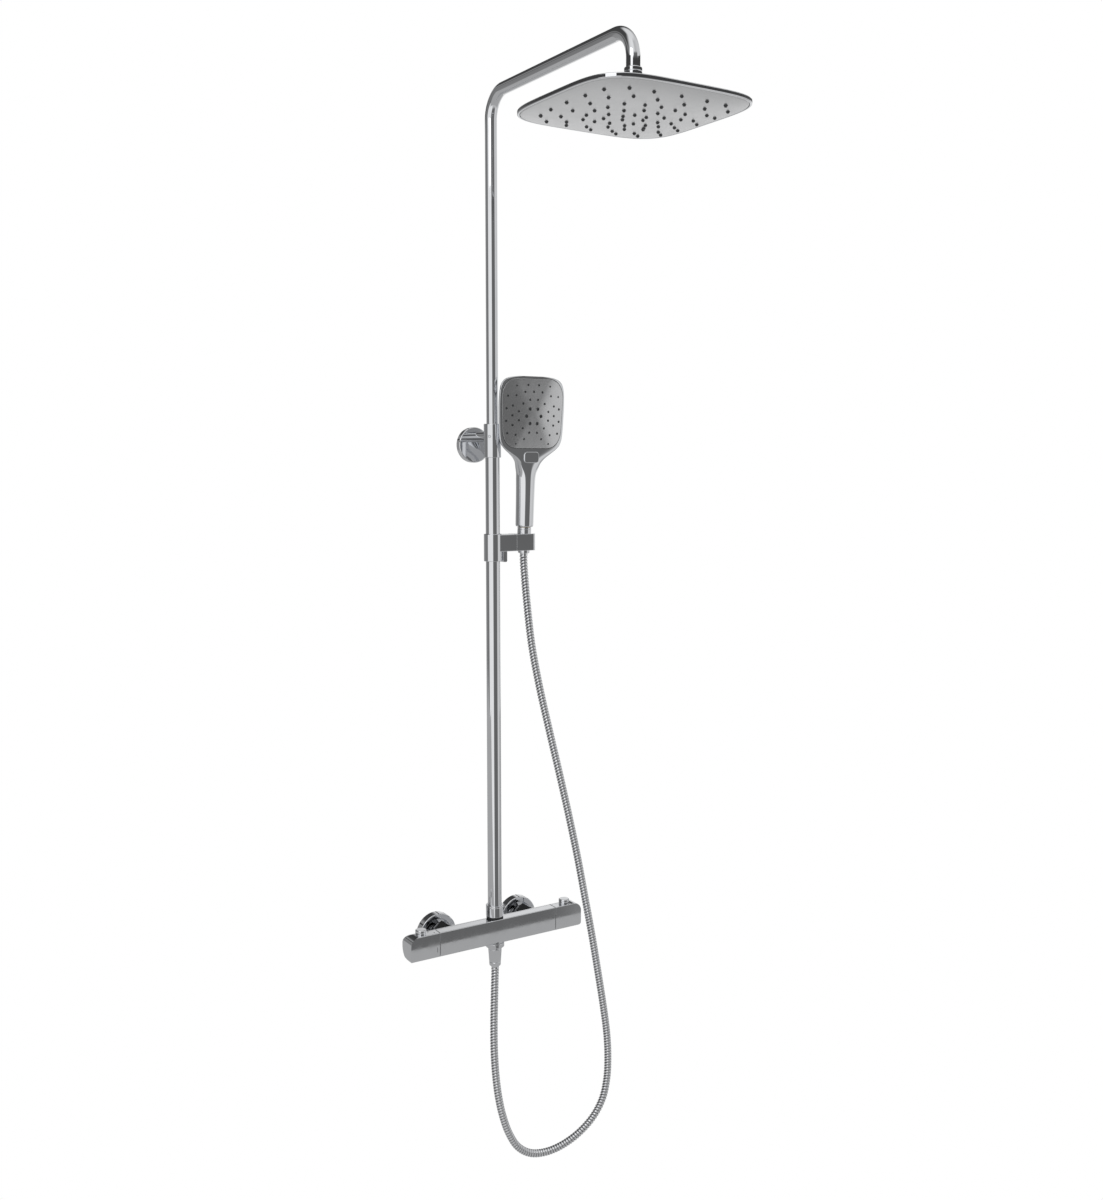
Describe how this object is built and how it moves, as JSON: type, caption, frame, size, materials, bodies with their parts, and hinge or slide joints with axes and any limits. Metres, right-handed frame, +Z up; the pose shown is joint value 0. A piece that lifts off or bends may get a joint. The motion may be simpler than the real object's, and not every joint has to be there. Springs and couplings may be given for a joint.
{
  "type": "rainfall shower column",
  "caption": "Thermostatic bar mixer with a telescopic riser, square overhead spray head, sliding holder, hand shower and metal hose.",
  "frame": {"origin": "on the finished wall, midway between the hot and cold inlets and level with the mixer bar's axis", "axes": "+Z up along the riser, +Y into the wall, +X to the right for a person facing the wall"},
  "size_m": [0.3824, 0.5827, 1.7044],
  "materials": {
    "chrome": "polished chrome plate on brass",
    "chromed_abs": "bright chrome plate on moulded ABS",
    "satin_face": "satin metallic spray face",
    "chromed_tube": "polished chrome-plated drawn tube",
    "hose_metal": "interlocked chromed metal strip",
    "brass": "bare turned brass",
    "steel": "stainless steel",
    "rubber": "dark grey silicone and seal rubber",
    "nylon": "moulded grey nylon",
    "white_nylon": "moulded white acetal bush"
  },
  "bodies": {
    "column": {"mixer_body": "chrome", "thermostatic_cartridge": "brass", "flow_cartridge": "brass", "temperature_stop_ring": "nylon", "flow_stop_ring": "nylon", "union_nut_left": "chrome", "union_nut_right": "chrome", "inlet_filter_left": "rubber", "inlet_filter_right": "rubber", "eccentric_union_left": "brass", "eccentric_union_right": "brass", "escutcheon_left": "chrome", "escutcheon_right": "chrome", "column_gasket": "rubber", "column_nut": "chrome", "lower_tube": "chromed_tube", "bracket_collar": "chrome", "telescope_bush": "nylon", "bracket_grub_screw": "steel", "bracket_arm": "chrome", "bracket_cover": "chrome", "bracket_wall_plate": "steel", "bracket_wall_screw": "steel", "outlet_nipple": "chrome", "hose_nut_lower": "chrome", "hose_washer_lower": "rubber", "shower_hose": "hose_metal"},
    "temperature_handle": {"temperature_handle": "chrome", "safety_button_spring": "steel"},
    "safety_button": {"safety_button": "chrome"},
    "flow_handle": {"flow_handle": "chrome", "eco_button_spring": "steel"},
    "eco_button": {"eco_button": "chrome"},
    "telescope": {"telescope_seal": "rubber"},
    "riser": {"telescope_plug": "brass", "upper_riser": "chromed_tube", "arm_end_nipple": "brass", "swivel_nut": "chrome"},
    "ball_seat": {"ball_seat": "rubber"},
    "spray_head": {"head_ball": "brass", "head_shell": "chromed_abs", "head_spray_face": "satin_face", "head_nozzle_mat": "rubber"},
    "slider": {"slider_liner": "white_nylon"},
    "holder": {"slider_body": "chromed_abs", "lock_lever_pin": "steel", "cradle_pivot_screw": "steel"},
    "lock_lever": {"lock_lever": "chrome"},
    "cradle": {"cradle": "chromed_abs"},
    "handset": {"handset_shell": "chromed_abs", "handset_spray_face": "satin_face", "handset_nozzle_mat": "rubber", "handset_diverter_disc": "nylon", "handset_inlet": "brass", "hose_nut_upper": "chrome", "hose_washer_upper": "rubber"},
    "handset_button": {"handset_button": "chromed_abs"}
  },
  "joints": [
    {"name": "temperature_turn", "type": "hinge", "parent": "column", "child": "temperature_handle", "pos_m": [-0.13, -0.065, 0], "axis": [-1, 0, 0], "range_deg": [-150, 40]},
    {"name": "safety_press", "type": "slide", "parent": "temperature_handle", "child": "safety_button", "axis": [0, 0, -1], "range_m": [0, 0.0024], "stiffness_N_per_m": 900, "deforming": ["safety_button_spring"]},
    {"name": "flow_turn", "type": "hinge", "parent": "column", "child": "flow_handle", "pos_m": [0.13, -0.065, 0], "axis": [1, 0, 0], "range_deg": [-90, 90]},
    {"name": "eco_press", "type": "slide", "parent": "flow_handle", "child": "eco_button", "axis": [0, 0, -1], "range_m": [0, 0.0024], "stiffness_N_per_m": 900, "deforming": ["eco_button_spring"]},
    {"name": "telescope_slide", "type": "slide", "parent": "column", "child": "telescope", "axis": [0, 0, 1], "range_m": [-0.08, 0.15]},
    {"name": "riser_swing", "type": "hinge", "parent": "telescope", "child": "riser", "pos_m": [0, -0.065, 0.6], "axis": [0, 0, 1], "range_deg": [-45, 45]},
    {"name": "head_spin", "type": "hinge", "parent": "riser", "child": "ball_seat", "pos_m": [0, -0.425, 1.213], "axis": [0, 0, 1], "continuous": true},
    {"name": "head_tilt", "type": "hinge", "parent": "ball_seat", "child": "spray_head", "pos_m": [0, -0.425, 1.213], "axis": [1, 0, 0], "range_deg": [-15, 15]},
    {"name": "holder_slide", "type": "slide", "parent": "column", "child": "slider", "axis": [0, 0, 1], "range_m": [-0.5, 0.105], "deforming": ["shower_hose"]},
    {"name": "holder_turn", "type": "hinge", "parent": "slider", "child": "holder", "pos_m": [0, -0.065, 0.61], "axis": [0, 0, 1], "range_deg": [-90, 15]},
    {"name": "lever_press", "type": "hinge", "parent": "holder", "child": "lock_lever", "pos_m": [0.019, -0.065, 0.6092], "axis": [0, -1, 0], "range_deg": [0, 18], "stiffness_Nm_per_rad": 0.3},
    {"name": "cradle_tilt", "type": "hinge", "parent": "holder", "child": "cradle", "pos_m": [0.0354, -0.065, 0.617], "axis": [1, 0, 0], "range_deg": [0, 30]},
    {"name": "handset_lift", "type": "slide", "parent": "cradle", "child": "handset", "axis": [0, -0.0523, 0.9986], "range_m": [0, 0.05]},
    {"name": "spray_select", "type": "slide", "parent": "handset", "child": "handset_button", "axis": [0, 0.9986, 0.0523], "range_m": [0, 0.0015], "stiffness_N_per_m": 1500}
  ]
}
